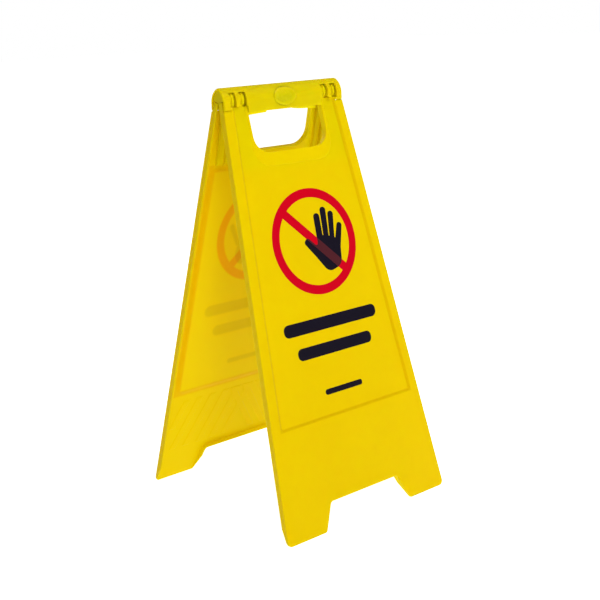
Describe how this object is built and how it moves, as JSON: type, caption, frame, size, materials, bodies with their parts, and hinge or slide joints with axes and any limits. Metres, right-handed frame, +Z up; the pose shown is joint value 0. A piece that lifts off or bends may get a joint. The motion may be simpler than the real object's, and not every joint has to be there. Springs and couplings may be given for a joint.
{
  "type": "a-frame floor barricade",
  "caption": "Folding A-frame floor barricade: two tapered moulded plastic leaves with feet, hinged inside a hollow carry bar over a hand opening.",
  "frame": {"origin": "on the floor, midway between the four feet, with the barricade standing open", "axes": "+Z up, +X along the carry bar and across the leaves, -Y out of the front leaf's face"},
  "size_m": [0.2988, 0.3264, 0.5983],
  "materials": {
    "leaf_plastic": "satin moulded polypropylene, slightly translucent yellow",
    "bar_plastic": "satin moulded polypropylene, yellow",
    "disc_plastic": "gloss moulded polypropylene, yellow",
    "pin_plastic": "plain moulded acetal, yellow",
    "print_red": "screen printed red ink",
    "print_black": "screen printed black ink"
  },
  "bodies": {
    "bar": {"carry_bar": "bar_plastic", "grip_tray": "bar_plastic", "front_grip_disc": "disc_plastic", "rear_grip_disc": "disc_plastic", "left_end_cap": "bar_plastic", "right_end_cap": "bar_plastic", "left_hinge_pin": "pin_plastic", "right_hinge_pin": "pin_plastic"},
    "front_leaf": {"front_leaf": "leaf_plastic"},
    "rear_leaf": {"rear_leaf": "leaf_plastic"}
  },
  "joints": [
    {"name": "front_fold", "type": "hinge", "parent": "bar", "child": "front_leaf", "pos_m": [0, 0, 0.58061], "axis": [1, 0, 0], "range_deg": [0, 14.67]},
    {"name": "rear_fold", "type": "hinge", "parent": "bar", "child": "rear_leaf", "pos_m": [0, 0, 0.58061], "axis": [-1, 0, 0], "range_deg": [0, 14.67]}
  ]
}
